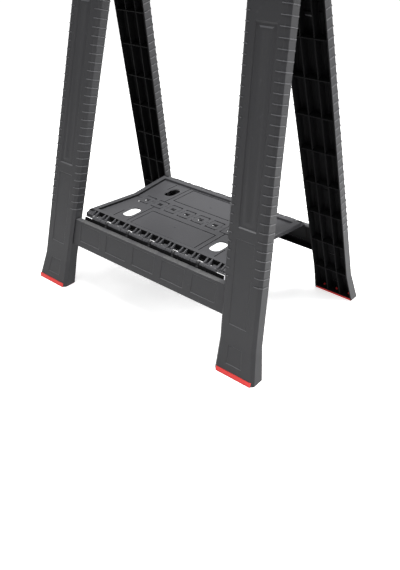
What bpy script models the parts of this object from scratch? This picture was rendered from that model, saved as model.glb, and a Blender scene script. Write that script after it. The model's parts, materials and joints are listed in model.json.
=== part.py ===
"""Folding sawhorse: two moulded A-frames, a two-leaf tray that folds up between them, red feet.

Metres, +Z up. The origin is on the ground under the middle of the horse. X runs along the rails
and Y runs from the rear frame (+) to the front frame (-). The horse is modelled standing open.
Each frame lies in its own tilted plane, so its parts are drawn from two measures: the height z,
and the depth t in front of the frame's back plane.
"""
import math

import bmesh
import bpy
from mathutils import Vector

# Overall sizes
HEIGHT = 0.813              # ground to work surface
BACK_AT_GROUND = 0.188      # back plane of a frame to the middle of the horse, at the ground
BACK_AT_PIVOT = 0.0166      # the same at the height of the top hinge
FOOT_OUTER = 0.343          # half the span of the feet
GAP = 0.0003                # between pieces that touch
RUN = 0.0006                # between pieces that turn past each other
ROUND_SIDES = 16

# Legs: channels that are open at the back
LEG_WIDTH = 0.090           # above the kick, run down to the ground
LEG_OUTER_LEAN = 0.090      # outer edge, inward per metre of height
LEG_INNER_LEAN = 0.0955
LEG_DEPTH = 0.029
LEG_CHAMFER = 0.0065
LEG_WALL = 0.003
LEG_IN_BEAM = 0.050         # the leg ends this far up inside the top beam
KICK_HEIGHT = 0.070         # the leg flares out below this height
FOOT_WIDTH = 0.102
FOOT_FLARE = 0.008          # sideways
FOOT_KICK = 0.005           # forwards
FOOT_FLOOR = 0.003          # plate that closes the bottom of the leg
RIB_THICK = 0.0024
RIB_SETBACK = 0.004         # upright ribs stop this far short of the back plane
CROSS_SETBACK = 0.003       # so do the level ribs
CROSS_RIB_FIRST = 0.076
CROSS_RIB_STEP = 0.0775

# Foot pads
PAD_THICK = 0.004
PAD_LIP_HEIGHT = 0.010      # the lip shows on the front face of the leg
PAD_LIP_THICK = 0.002
PAD_LIP_PROUD = 0.0008
PEG_RADIUS = 0.0030
PEG_HEIGHT = 0.0062         # above the pad's top face
PEG_COUNT = 3

# Rails: channels that are open at the back, with lugs for the tray's hinge rod
RAIL_TOP = 0.1775
RAIL_HEIGHT = 0.063
RAIL_DEPTH = 0.020
RAIL_WALL = 0.003
RAIL_BACK_SLOT = 0.0065     # between the top flange and the back plane
RAIL_RIB_STEP = 0.0878

# Hinge between a rail and its tray leaf
RAIL_PIVOT_RISE = 0.0075    # above the rail's top
RAIL_PIVOT_INSET = 0.0004   # behind the back plane
RAIL_ROD_RADIUS = 0.0025
RAIL_BARREL_WALL = 0.0022
RAIL_HINGE_STEP = 0.0701
RAIL_BARREL_WIDTH = 0.026
RAIL_LUG_WIDTH = 0.006

# Tray: two alike leaves, hinged to the rails and to each other
TRAY_RISE = 0.0110          # top of the rim above the rail hinge
TRAY_THICK = 0.0120
TRAY_WELL = 0.005           # depth of the well inside the rim
TRAY_FLOOR = 0.003
TRAY_SIDE_GAP = 0.0075      # between the leaf and the legs
TRAY_WAIST = 0.0200         # the tray is narrower in the middle, on each side
TRAY_RIM = 0.013
TRAY_END_RIM = 0.024        # beside the rail
OVAL_FROM_END = 0.085       # from the leaf's end at the rail
OVAL_Y = 0.0725
OVAL_LENGTH = 0.048
OVAL_WIDTH = 0.029
TAB_STEP = 0.0435           # middle hinge: spacing of the tabs
TAB_WIDTH = 0.030
TAB_REACH = 0.017           # a tab reaches this far over the other leaf
TAB_COUNT = 4               # tabs on each leaf
TAB_SHOULDER = 0.006        # the barrel is narrower than its tab on each side
MIDDLE_PIVOT_DROP = 0.005   # below the underside of the leaves
MIDDLE_ROD_RADIUS = 0.0024
MIDDLE_BARREL_WALL = 0.0023

# Top beams and the hinge between the two frames
BEAM_HEIGHT = 0.091
BEAM_OVERHANG = 0.044       # beyond the legs
BEAM_STEP = 0.007           # the beam stands this far in front of the legs
BEAM_WALL = 0.003
BEAM_EDGE = 0.004           # bevel along the outer top edge
BEAM_PARTING = 0.0006       # half the slit between the two beams
BEAM_MIDDLE_RIB = 0.035
TOP_PIVOT_DROP = 0.023      # below the work surface
TOP_HINGE_X = 0.100
TOP_PIN_RADIUS = 0.0040
TOP_LUG_WALL = 0.0037
TOP_LUG_WIDTH = 0.010
TOP_HOOK_WIDTH = 0.020
TOP_HOOK_REACH = 0.0040     # jaws reach this far past the pin's axis
TOP_HOOK_FLARE = math.radians(18)
TOP_POCKET_ROOM = 0.0025    # around the hinge parts that turn in a pocket

# Cord hooks on the ends of the beams
HOOK_WIDTH = 0.014
HOOK_THICK = 0.0045
HOOK_REACH = 0.022
HOOK_HEIGHT = 0.034
HOOK_LIP = 0.018
HOOK_DROP = 0.023           # below the work surface

# Worked out from the sizes above
TOP_PIVOT_Z = HEIGHT - TOP_PIVOT_DROP
SPLAY = (BACK_AT_GROUND - BACK_AT_PIVOT) / TOP_PIVOT_Z
BEAM_BOTTOM = HEIGHT - BEAM_HEIGHT
BEAM_DEPTH = LEG_DEPTH + BEAM_STEP
LEG_TOP = BEAM_BOTTOM + LEG_IN_BEAM
LEG_OUTER = FOOT_OUTER - FOOT_FLARE
LEG_INNER = LEG_OUTER - LEG_WIDTH
FOOT_INNER = FOOT_OUTER - FOOT_WIDTH
FOOT_DEPTH = LEG_DEPTH + FOOT_KICK
RAIL_BOTTOM = RAIL_TOP - RAIL_HEIGHT
RAIL_PIVOT_Z = RAIL_TOP + RAIL_PIVOT_RISE
RAIL_BARREL_RADIUS = RAIL_ROD_RADIUS + GAP + RAIL_BARREL_WALL
TRAY_TOP = RAIL_PIVOT_Z + TRAY_RISE
TRAY_BASE = TRAY_TOP - TRAY_THICK
TRAY_FLOOR_TOP = TRAY_TOP - TRAY_WELL
MIDDLE_PIVOT_Z = TRAY_BASE - MIDDLE_PIVOT_DROP
MIDDLE_BARREL_RADIUS = MIDDLE_ROD_RADIUS + GAP + MIDDLE_BARREL_WALL
TOP_LUG_RADIUS = TOP_PIN_RADIUS + GAP + TOP_LUG_WALL


def back(z):
    """Distance from the middle of the horse to a frame's back plane at height z."""
    return BACK_AT_GROUND - SPLAY * z


def on_front(z, t):
    """Y of a point of the front frame, t in front of its back plane."""
    return -(back(z) + t)


def kicked(z, at_kick, at_ground):
    """Straight run from a size at the kick to its size at the ground."""
    return at_kick + (at_ground - at_kick) * (KICK_HEIGHT - z) / KICK_HEIGHT


def leg_inner(z):
    line = LEG_INNER - LEG_INNER_LEAN * max(z, KICK_HEIGHT)
    return line if z >= KICK_HEIGHT else kicked(z, line, FOOT_INNER)


def leg_outer(z):
    line = LEG_OUTER - LEG_OUTER_LEAN * max(z, KICK_HEIGHT)
    return line if z >= KICK_HEIGHT else kicked(z, line, FOOT_OUTER)


def leg_depth(z):
    return LEG_DEPTH if z >= KICK_HEIGHT else kicked(z, LEG_DEPTH, FOOT_DEPTH)


BEAM_HALF = leg_outer(BEAM_BOTTOM) + BEAM_OVERHANG
RAIL_PIVOT_Y = back(RAIL_PIVOT_Z) - RAIL_PIVOT_INSET
TRAY_HALF_AT_RAIL = leg_inner(TRAY_TOP) - TRAY_SIDE_GAP
TRAY_HALF_AT_MIDDLE = TRAY_HALF_AT_RAIL - TRAY_WAIST
ROD_HALF = TRAY_HALF_AT_RAIL - TRAY_RIM / 2


def along(step, half, offset=0.0):
    """Places at (i + offset) steps from the middle that lie within half of it."""
    count = int(half / step) + 1
    return [step * (i + offset) for i in range(-count, count + 1) if abs(step * (i + offset)) <= half]


# ---------------------------------------------------------------- mesh helpers

def finish_mesh(bm):
    bmesh.ops.recalc_face_normals(bm, faces=bm.faces)
    mesh = bpy.data.meshes.new("shape")
    bm.to_mesh(mesh)
    bm.free()
    return mesh


def loft(rings):
    """Closed solid through rings of points that all have the same count."""
    bm = bmesh.new()
    loops = [[bm.verts.new(p) for p in ring] for ring in rings]
    bm.faces.new(loops[0])
    bm.faces.new(loops[-1])
    for lower, upper in zip(loops, loops[1:]):
        for i in range(len(lower)):
            j = (i + 1) % len(lower)
            bm.faces.new((lower[i], lower[j], upper[j], upper[i]))
    return finish_mesh(bm)


def prism(outline, axis, low, high):
    """Outline pushed from low to high: points are (y, z) for axis X, (x, z) for Y, (x, y) for Z."""
    def spot(a, b, level):
        return {"X": (level, a, b), "Y": (a, level, b), "Z": (a, b, level)}[axis]
    return loft([[spot(a, b, level) for a, b in outline] for level in (low, high)])


def box(x, y, z):
    """Block from three (low, high) pairs."""
    return prism(((x[0], y[0]), (x[1], y[0]), (x[1], y[1]), (x[0], y[1])), "Z", z[0], z[1])


def circle(cy, cz, radius, sides=ROUND_SIDES):
    step = math.tau / sides
    return [(cy + radius * math.cos((i + 0.5) * step), cz + radius * math.sin((i + 0.5) * step))
            for i in range(sides)]


def rod(cy, cz, radius, low, high, sides=ROUND_SIDES):
    return prism(circle(cy, cz, radius, sides), "X", low, high)


def oval(cx, cy, length, width, sides=8):
    """Slot outline with round ends, long in Y."""
    radius = width / 2
    half = (length - width) / 2
    points = []
    for end, start in ((half, 0.0), (-half, math.pi)):
        for i in range(sides + 1):
            angle = start + math.pi * i / sides
            points.append((cx + radius * math.cos(angle), cy + end + radius * math.sin(angle)))
    return points


def combine(mesh, operation, others):
    """Exact Boolean of a mesh with a list of meshes."""
    if not others:
        return mesh
    scene = bpy.context.scene.collection
    group = bpy.data.collections.new("operands")
    tools = [bpy.data.objects.new("operand", other) for other in others]
    for tool in tools:
        group.objects.link(tool)
        scene.objects.link(tool)
    target = bpy.data.objects.new("target", mesh)
    scene.objects.link(target)
    modifier = target.modifiers.new("combine", "BOOLEAN")
    modifier.operation = operation
    modifier.solver = "EXACT"
    modifier.operand_type = "COLLECTION"
    modifier.collection = group
    depsgraph = bpy.context.evaluated_depsgraph_get()
    result = bpy.data.meshes.new_from_object(target.evaluated_get(depsgraph))
    for item in [target] + tools:
        bpy.data.objects.remove(item)
    bpy.data.collections.remove(group)
    return result


def solid(base, add=(), cut=()):
    return combine(combine(base, "UNION", list(add)), "DIFFERENCE", list(cut))


def mirrored(mesh):
    """Copy of a mesh for the other side of the horse, turned right side out."""
    bm = bmesh.new()
    bm.from_mesh(mesh)
    bmesh.ops.scale(bm, vec=(-1, 1, 1), verts=bm.verts)
    bmesh.ops.reverse_faces(bm, faces=bm.faces)
    copy = bpy.data.meshes.new("shape")
    bm.to_mesh(copy)
    bm.free()
    return copy


# ---------------------------------------------------------------- shapes of the front frame

def leg_section(z):
    """Channel outline at height z for the right leg: outside first, then back along the inside."""
    x0, x1 = leg_inner(z), leg_outer(z)
    depth, cut, wall = leg_depth(z), LEG_CHAMFER, LEG_WALL
    bend = wall * math.tan(math.pi / 8)
    outline = [
        (x0, 0), (x0, depth - cut), (x0 + cut, depth),
        (x1 - cut, depth), (x1, depth - cut), (x1, 0),
        (x1 - wall, 0), (x1 - wall, depth - cut - bend), (x1 - cut - bend, depth - wall),
        (x0 + cut + bend, depth - wall), (x0 + wall, depth - cut - bend), (x0 + wall, 0),
    ]
    return [(x, on_front(z, t), z) for x, t in outline]


def rib_section(z, share):
    """Outline at height z of an upright rib, share of the way across the channel."""
    middle = leg_inner(z) + share * (leg_outer(z) - leg_inner(z))
    sides = (middle - RIB_THICK / 2, middle + RIB_THICK / 2)
    depths = (RIB_SETBACK, leg_depth(z) - LEG_WALL / 3)
    return [(x, on_front(z, t), z) for x, t in
            ((sides[0], depths[0]), (sides[1], depths[0]), (sides[1], depths[1]), (sides[0], depths[1]))]


def cross_rib(z, thick):
    """Level rib or floor across the channel, let into its walls."""
    inset = LEG_WALL / 2
    rings = []
    for level in (z - thick / 2, z + thick / 2):
        x0, x1 = leg_inner(level) + inset, leg_outer(level) - inset
        deep = leg_depth(level) - inset
        corner = LEG_CHAMFER
        outline = ((x0, CROSS_SETBACK), (x0, deep - corner), (x0 + corner, deep),
                   (x1 - corner, deep), (x1, deep - corner), (x1, CROSS_SETBACK))
        rings.append([(x, on_front(level, t), level) for x, t in outline])
    return loft(rings)


def peg_places():
    """Centres of the pad's pegs, in a row across the foot."""
    step = (FOOT_OUTER - FOOT_INNER) / PEG_COUNT
    depth = (CROSS_SETBACK + FOOT_DEPTH - LEG_WALL) / 2
    return [(FOOT_INNER + step * (i + 0.5), on_front(0, depth)) for i in range(PEG_COUNT)]


def right_leg():
    bottom = PAD_THICK + GAP
    heights = (bottom, KICK_HEIGHT, LEG_TOP)
    floor_middle = bottom + FOOT_FLOOR / 2 + GAP
    ribs = [loft([rib_section(z, share) for z in (floor_middle, KICK_HEIGHT, LEG_TOP - GAP)])
            for share in (1 / 3, 2 / 3)]
    level = CROSS_RIB_FIRST
    while level < LEG_TOP - CROSS_RIB_STEP / 3:
        ribs.append(cross_rib(level, RIB_THICK))
        level += CROSS_RIB_STEP
    ribs.append(cross_rib(floor_middle, FOOT_FLOOR))
    holes = [prism(circle(x, y, PEG_RADIUS + GAP, 12), "Z", 0, bottom + 2 * FOOT_FLOOR)
             for x, y in peg_places()]
    lip_room = box((FOOT_INNER + LEG_CHAMFER - GAP, FOOT_OUTER - LEG_CHAMFER + GAP),
                   (on_front(0, FOOT_DEPTH + 0.002), on_front(PAD_LIP_HEIGHT, FOOT_DEPTH - PAD_LIP_THICK) + GAP),
                   (0, PAD_LIP_HEIGHT + GAP))
    return solid(loft([leg_section(z) for z in heights]), ribs, holes + [lip_room])


def right_pad():
    x0, x1, cut = FOOT_INNER, FOOT_OUTER, LEG_CHAMFER
    outline = [(x, on_front(0, t)) for x, t in
               ((x0, 0), (x0, FOOT_DEPTH - cut), (x0 + cut, FOOT_DEPTH),
                (x1 - cut, FOOT_DEPTH), (x1, FOOT_DEPTH - cut), (x1, 0))]
    sole = prism(outline, "Z", 0, PAD_THICK)
    lip = box((x0 + cut, x1 - cut),
              (on_front(0, FOOT_DEPTH + PAD_LIP_PROUD), on_front(PAD_LIP_HEIGHT, FOOT_DEPTH - PAD_LIP_THICK)),
              (0, PAD_LIP_HEIGHT))
    pegs = [prism(circle(x, y, PEG_RADIUS, 12), "Z", PAD_THICK / 2, PAD_THICK + PEG_HEIGHT)
            for x, y in peg_places()]
    return solid(sole, [lip] + pegs)


def rail_lug(x):
    """Plate that carries the hinge rod of the tray, seen from the end of the rail."""
    foot_depth = RAIL_DEPTH - RAIL_WALL / 2
    arc = [(-RAIL_PIVOT_Y + RAIL_BARREL_RADIUS * math.cos(a), RAIL_PIVOT_Z + RAIL_BARREL_RADIUS * math.sin(a))
           for a in [math.radians(d) for d in range(-60, 151, 30)]]
    low, high = RAIL_TOP - RAIL_HEIGHT / 2, RAIL_TOP - RAIL_WALL / 2
    outline = [(on_front(low, foot_depth), low), (on_front(low, 0.001), low)] + arc
    outline.append((on_front(high, RAIL_BACK_SLOT + RAIL_WALL / 2), high))
    outline.append((on_front(high, foot_depth), high))
    return prism(outline, "X", x - RAIL_LUG_WIDTH / 2, x + RAIL_LUG_WIDTH / 2)


def lug_places():
    return along(RAIL_HINGE_STEP, TRAY_HALF_AT_MIDDLE)


def front_rail_shape():
    deep, wall = RAIL_DEPTH, RAIL_WALL
    outline = [
        (RAIL_BOTTOM, 0), (RAIL_BOTTOM, deep), (RAIL_TOP, deep), (RAIL_TOP, RAIL_BACK_SLOT),
        (RAIL_TOP - wall, RAIL_BACK_SLOT), (RAIL_TOP - wall, deep - wall),
        (RAIL_BOTTOM + wall, deep - wall), (RAIL_BOTTOM + wall, 0),
    ]
    rings = [[(side * (leg_inner(z) - GAP), on_front(z, t), z) for z, t in outline] for side in (-1, 1)]
    rib_outline = [(on_front(z, t), z) for z, t in
                   ((RAIL_BOTTOM + wall / 2, 0.001), (RAIL_BOTTOM + wall / 2, deep - wall / 2),
                    (RAIL_TOP - wall / 2, deep - wall / 2), (RAIL_TOP - wall / 2, RAIL_BACK_SLOT + wall / 2))]
    ribs = [prism(rib_outline, "X", x - RIB_THICK / 2, x + RIB_THICK / 2)
            for x in along(RAIL_RIB_STEP, leg_inner(RAIL_TOP) - wall, 0.5)]
    lugs = [rail_lug(x) for x in lug_places()]
    bore = rod(-RAIL_PIVOT_Y, RAIL_PIVOT_Z, RAIL_ROD_RADIUS + GAP, -FOOT_OUTER, FOOT_OUTER)
    return solid(loft(rings), ribs + lugs, [bore])


def beam_inner_wall(z):
    """Y of the front beam's inner face: upright above the pivot, then along the fold plane."""
    return -BEAM_PARTING - max(0.0, TOP_PIVOT_Z - z) * SPLAY


def beam_shell():
    """Front beam as a box that is open underneath."""
    wall, deep = BEAM_WALL, BEAM_DEPTH
    outer = [
        (beam_inner_wall(HEIGHT), HEIGHT), (beam_inner_wall(TOP_PIVOT_Z), TOP_PIVOT_Z),
        (beam_inner_wall(BEAM_BOTTOM), BEAM_BOTTOM), (on_front(BEAM_BOTTOM, deep), BEAM_BOTTOM),
        (on_front(HEIGHT - BEAM_EDGE, deep), HEIGHT - BEAM_EDGE), (on_front(HEIGHT, deep - BEAM_EDGE), HEIGHT),
    ]
    top, low = HEIGHT - wall, BEAM_BOTTOM - wall
    inner = [
        (beam_inner_wall(top) - wall, top), (beam_inner_wall(TOP_PIVOT_Z) - wall, TOP_PIVOT_Z),
        (beam_inner_wall(low) - wall, low), (on_front(low, deep - wall), low),
        (on_front(top, deep - wall), top),
    ]
    half = BEAM_HALF
    return prism(outer, "X", -half, half), prism(inner, "X", -half + wall, half - wall)


def beam_ribs():
    """Cross walls inside the beam, clear of the legs and of the hinges."""
    top, low = HEIGHT - BEAM_WALL / 2, BEAM_BOTTOM + 2 * BEAM_WALL
    inset = BEAM_WALL / 2
    outline = [(beam_inner_wall(top) - inset, top), (beam_inner_wall(TOP_PIVOT_Z) - inset, TOP_PIVOT_Z),
               (beam_inner_wall(low) - inset, low), (on_front(low, BEAM_DEPTH - inset), low),
               (on_front(top, BEAM_DEPTH - inset), top)]
    return [prism(outline, "X", side * x - RIB_THICK / 2, side * x + RIB_THICK / 2)
            for x in (BEAM_MIDDLE_RIB, (BEAM_HALF + leg_outer(BEAM_BOTTOM)) / 2) for side in (-1, 1)]


def hinge_pocket(low, high):
    """Room in the front beam's inner wall for a hinge part of the other beam."""
    deep = TOP_LUG_RADIUS + TOP_POCKET_ROOM
    half = deep + TOP_POCKET_ROOM
    return box((low, high), (-deep, deep), (TOP_PIVOT_Z - half, TOP_PIVOT_Z + half))


def lug_lanes(centre):
    """X ranges of the two pin lugs of one top hinge."""
    inner = TOP_HOOK_WIDTH / 2 + RUN
    return [(centre - inner - TOP_LUG_WIDTH, centre - inner), (centre + inner, centre + inner + TOP_LUG_WIDTH)]


def pin_lug_outline():
    """Plate around the pin, which hangs from the deck of the front beam."""
    root, deck = -BEAM_DEPTH, HEIGHT - BEAM_WALL / 2
    face = beam_inner_wall(deck) - BEAM_PARTING
    outline = [(root, TOP_PIVOT_Z - TOP_LUG_RADIUS)]
    outline += [(TOP_LUG_RADIUS * math.cos(a), TOP_PIVOT_Z + TOP_LUG_RADIUS * math.sin(a))
                for a in [math.radians(d) for d in range(-90, 91, 20)]]
    return outline + [(face, TOP_PIVOT_Z + TOP_LUG_RADIUS), (face, deck), (root, deck)]


def hook_outlines():
    """Block of a rear hook, and the flared mouth that is cut into it."""
    radius = TOP_PIN_RADIUS + GAP
    jaw, root, deck = TOP_LUG_RADIUS, -BEAM_DEPTH * 0.8, HEIGHT - BEAM_WALL / 2
    face = beam_inner_wall(deck) - BEAM_PARTING
    block = [(TOP_HOOK_REACH, TOP_PIVOT_Z + jaw), (TOP_HOOK_REACH, TOP_PIVOT_Z - jaw),
             (root, TOP_PIVOT_Z - jaw), (root, deck), (face, deck), (face, TOP_PIVOT_Z + jaw)]
    far = 3 * TOP_HOOK_REACH
    rise = radius + far * math.tan(TOP_HOOK_FLARE)
    mouth = [(radius * math.cos(a), TOP_PIVOT_Z + radius * math.sin(a))
             for a in [math.radians(d) for d in range(90, 271, 20)]]
    return block, mouth + [(far, TOP_PIVOT_Z - rise), (far, TOP_PIVOT_Z + rise)]


def front_beam_shape():
    outside, cavity = beam_shell()
    shell = solid(outside, (), [cavity])
    pockets, lugs, bores = [], [], []
    for centre in (-TOP_HINGE_X, TOP_HINGE_X):
        half = TOP_HOOK_WIDTH / 2 + RUN
        pockets.append(hinge_pocket(centre - half, centre + half))
        for low, high in lug_lanes(centre):
            lugs.append(prism(pin_lug_outline(), "X", low, high))
        reach = lug_lanes(0)[1][1] + RUN
        bores.append(rod(0, TOP_PIVOT_Z, TOP_PIN_RADIUS + GAP, centre - reach, centre + reach))
    shell = solid(shell, beam_ribs() + lugs)
    return solid(shell, (), pockets + bores)


def rear_beam_shape():
    """Beam with the hooks. It is drawn on the front side, then turned half round with its frame."""
    outside, cavity = beam_shell()
    shell = solid(outside, (), [cavity])
    pockets, hooks, slots = [], [], []
    block, mouth = hook_outlines()
    for centre in (-TOP_HINGE_X, TOP_HINGE_X):
        for low, high in lug_lanes(centre):
            pockets.append(hinge_pocket(low - RUN, high + RUN))
        low, high = centre - TOP_HOOK_WIDTH / 2, centre + TOP_HOOK_WIDTH / 2
        hooks.append(prism(block, "X", low, high))
        slots.append(prism(mouth, "X", low - GAP, high + GAP))
    shell = solid(shell, beam_ribs(), pockets)
    return solid(shell, hooks, slots)


def cord_hook_shape():
    """J-shaped hook on the right-hand end of the front beam."""
    start = BEAM_HALF + GAP
    outer = start + HOOK_REACH
    top = HEIGHT - HOOK_DROP
    low = top - HOOK_HEIGHT
    outline = [(start, top), (start, low), (outer, low), (outer, low + HOOK_LIP),
               (outer - HOOK_THICK, low + HOOK_LIP), (outer - HOOK_THICK, low + HOOK_THICK),
               (start + HOOK_THICK, low + HOOK_THICK), (start + HOOK_THICK, top)]
    middle = (beam_inner_wall(low) + on_front(low, BEAM_DEPTH)) / 2
    return prism(outline, "Y", middle - HOOK_WIDTH / 2, middle + HOOK_WIDTH / 2)


# ---------------------------------------------------------------- tray

def tray_half_length(y):
    """Half length of the tray at distance y from the middle: it is waisted."""
    share = y / (RAIL_PIVOT_Y + RAIL_BARREL_RADIUS)
    return TRAY_HALF_AT_MIDDLE + (TRAY_HALF_AT_RAIL - TRAY_HALF_AT_MIDDLE) * share


def leaf_outline(inset_side, near, far):
    """Outline of a strip of the front leaf between two distances from the middle."""
    a, b = tray_half_length(near) - inset_side, tray_half_length(far) - inset_side
    return [(-a, -near), (a, -near), (b, -far), (-b, -far)]


def own_tabs():
    """X centres of the front leaf's tabs. The rear leaf's are their mirror image."""
    return [TAB_STEP * (2 * i - TAB_COUNT + 1.5) for i in range(TAB_COUNT)]


def middle_hinge_parts():
    """Tabs and barrels of one leaf, and the notches that take the other leaf's tabs."""
    floor_low = TRAY_FLOOR_TOP - TRAY_FLOOR
    above, below = TRAY_TOP + TRAY_THICK, TRAY_BASE - TRAY_THICK
    tab_half = TAB_WIDTH / 2
    barrel_half = tab_half - TAB_SHOULDER
    stem_half, stem_top = MIDDLE_BARREL_RADIUS * 0.8, floor_low + TRAY_FLOOR / 3
    stem = [(-stem_half, stem_top), (-stem_half, MIDDLE_PIVOT_Z), (stem_half, MIDDLE_PIVOT_Z), (stem_half, stem_top)]
    solids, notches = [], []
    for x in own_tabs():
        solids.append(box((x - tab_half, x + tab_half), (-TAB_REACH, TAB_REACH), (floor_low, TRAY_FLOOR_TOP)))
        solids.append(prism(stem, "X", x - barrel_half, x + barrel_half))
        solids.append(rod(0, MIDDLE_PIVOT_Z, MIDDLE_BARREL_RADIUS, x - barrel_half, x + barrel_half))
        room = tab_half + RUN
        notches.append(box((-x - room, -x + room), (-TAB_REACH - RUN, TAB_REACH), (below, above)))
    return solids, notches


def rail_hinge_parts():
    """Barrels of one leaf around the rail's rod, and the lanes that the rail's lugs stand in."""
    barrels = []
    for x in along(RAIL_HINGE_STEP, TRAY_HALF_AT_RAIL, 0.5):
        low = max(x - RAIL_BARREL_WIDTH / 2, -ROD_HALF)
        high = min(x + RAIL_BARREL_WIDTH / 2, ROD_HALF)
        barrels.append(rod(-RAIL_PIVOT_Y, RAIL_PIVOT_Z, RAIL_BARREL_RADIUS, low, high))
    half = RAIL_LUG_WIDTH / 2 + RUN
    reach = RAIL_BARREL_RADIUS + RUN
    lanes = [box((x - half, x + half), (-RAIL_PIVOT_Y - 4 * reach, -RAIL_PIVOT_Y + reach),
                 (TRAY_BASE - TRAY_THICK, TRAY_TOP + TRAY_THICK)) for x in lug_places()]
    return barrels, lanes


def tray_leaf_shape():
    end = RAIL_PIVOT_Y - RAIL_BARREL_RADIUS * 0.7
    over, inside = TRAY_TOP + TRAY_THICK, end - TRAY_END_RIM
    slab = prism(leaf_outline(0, RUN / 2, end), "Z", TRAY_BASE, TRAY_TOP)
    well_outline = leaf_outline(TRAY_RIM, -TRAY_THICK, inside)
    well = prism(well_outline, "Z", TRAY_FLOOR_TOP, over)
    hollow = prism(well_outline, "Z", TRAY_BASE - TRAY_THICK, TRAY_FLOOR_TOP - TRAY_FLOOR)
    oval_x = TRAY_HALF_AT_RAIL - OVAL_FROM_END
    ovals = [prism(oval(side * oval_x, -OVAL_Y, OVAL_LENGTH, OVAL_WIDTH), "Z", TRAY_BASE, TRAY_TOP)
             for side in (-1, 1)]
    tabs, notches = middle_hinge_parts()
    barrels, lanes = rail_hinge_parts()
    leaf = solid(slab, (), [well, hollow] + ovals + notches + lanes)
    leaf = solid(leaf, tabs + barrels)
    bores = [rod(0, MIDDLE_PIVOT_Z, MIDDLE_ROD_RADIUS + GAP, -FOOT_OUTER, FOOT_OUTER),
             rod(-RAIL_PIVOT_Y, RAIL_PIVOT_Z, RAIL_ROD_RADIUS + GAP, -FOOT_OUTER, FOOT_OUTER)]
    return solid(leaf, (), bores)


# ---------------------------------------------------------------- materials and assembly

def plastic(name, colour, roughness, metallic=0.0):
    material = bpy.data.materials.new(name)
    material.use_nodes = True
    shader = material.node_tree.nodes["Principled BSDF"]
    shader.inputs["Base Color"].default_value = (*colour, 1.0)
    shader.inputs["Roughness"].default_value = roughness
    shader.inputs["Metallic"].default_value = metallic
    return material


def pivot(name, location):
    """Empty on a hinge axis, which carries the pieces that turn about it."""
    empty = bpy.data.objects.new(name, None)
    empty.location = location
    bpy.context.scene.collection.objects.link(empty)
    return empty


def piece(name, mesh, material, parent, turned=False):
    """Object whose mesh is drawn in the standing horse's frame, carried by a hinge's empty."""
    thing = bpy.data.objects.new(name, mesh)
    mesh.name = name
    mesh.materials.clear()
    mesh.materials.append(material)
    bpy.context.scene.collection.objects.link(thing)
    thing.parent = parent
    thing.location = -Vector(parent.location)
    thing.rotation_euler.z = math.pi if turned else 0.0
    return thing


def build_frame(side, parent, beam, turned, parts, black, red, steel):
    """One A-frame. The rear one is the front one turned half round about Z."""
    left, right = ("left", "right") if not turned else ("right", "left")
    for name, key in ((right, "right"), (left, "left")):
        piece(f"{side}_{name}_leg", parts[f"{key}_leg"].copy(), black, parent, turned)
        piece(f"{side}_{name}_foot_pad", parts[f"{key}_pad"].copy(), red, parent, turned)
        piece(f"{side}_{name}_cord_hook", parts[f"{key}_hook"].copy(), black, parent, turned)
    piece(f"{side}_rail", parts["rail"].copy(), black, parent, turned)
    piece(f"{side}_top_beam", beam, black, parent, turned)
    piece(f"{side}_tray_hinge_rod", parts["rod"].copy(), steel, parent, turned)


def build():
    for thing in list(bpy.data.objects):
        bpy.data.objects.remove(thing)
    black = plastic("moulded_black", (0.030, 0.030, 0.032), 0.55)
    tray_grey = plastic("moulded_black_tray", (0.036, 0.036, 0.039), 0.50)
    red = plastic("red_rubber", (0.60, 0.030, 0.028), 0.60)
    steel = plastic("hinge_steel", (0.30, 0.30, 0.31), 0.35, 1.0)

    leg, pad, hook = right_leg(), right_pad(), cord_hook_shape()
    parts = {
        "right_leg": leg, "left_leg": mirrored(leg),
        "right_pad": pad, "left_pad": mirrored(pad),
        "right_hook": hook, "left_hook": mirrored(hook),
        "rail": front_rail_shape(),
        "rod": rod(-RAIL_PIVOT_Y, RAIL_PIVOT_Z, RAIL_ROD_RADIUS, -ROD_HALF, ROD_HALF),
    }
    ground = pivot("front_frame_carrier", (0, 0, 0))
    front_axis = pivot("front_rail_axis", (0, -RAIL_PIVOT_Y, RAIL_PIVOT_Z))
    middle_axis = pivot("tray_middle_axis", (0, 0, MIDDLE_PIVOT_Z))
    rear_axis = pivot("rear_rail_axis", (0, RAIL_PIVOT_Y, RAIL_PIVOT_Z))

    build_frame("front", ground, front_beam_shape(), False, parts, black, red, steel)
    build_frame("rear", rear_axis, rear_beam_shape(), True, parts, black, red, steel)

    leaf = tray_leaf_shape()
    piece("front_tray_leaf", leaf, tray_grey, front_axis)
    piece("rear_tray_leaf", leaf.copy(), tray_grey, middle_axis, True)
    reach = TAB_STEP * (TAB_COUNT - 0.5) + TAB_WIDTH / 2 - TAB_SHOULDER
    piece("tray_middle_rod", rod(0, MIDDLE_PIVOT_Z, MIDDLE_ROD_RADIUS, -reach, reach), steel, front_axis)
    pin_half = lug_lanes(0)[1][1]
    for side, x in (("left", -TOP_HINGE_X), ("right", TOP_HINGE_X)):
        pin = rod(0, TOP_PIVOT_Z, TOP_PIN_RADIUS, x - pin_half, x + pin_half)
        piece(f"top_hinge_pin_{side}", pin, steel, ground)


build()
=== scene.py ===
"""Looks of a folding sawhorse: two moulded A-frames, a two-leaf tray between them and red feet.

Metres, +Z up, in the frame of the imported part. Every front piece is drawn in place, and the rear
ones are the same shapes turned half round about Z. A frame leans, so its pieces are drawn from the
height z and the depth t in front of the frame's back plane.
"""

import json
import math

import bmesh
import bpy
from bpy.props import FloatProperty, FloatVectorProperty, IntProperty
from mathutils import Matrix, Vector


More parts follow.
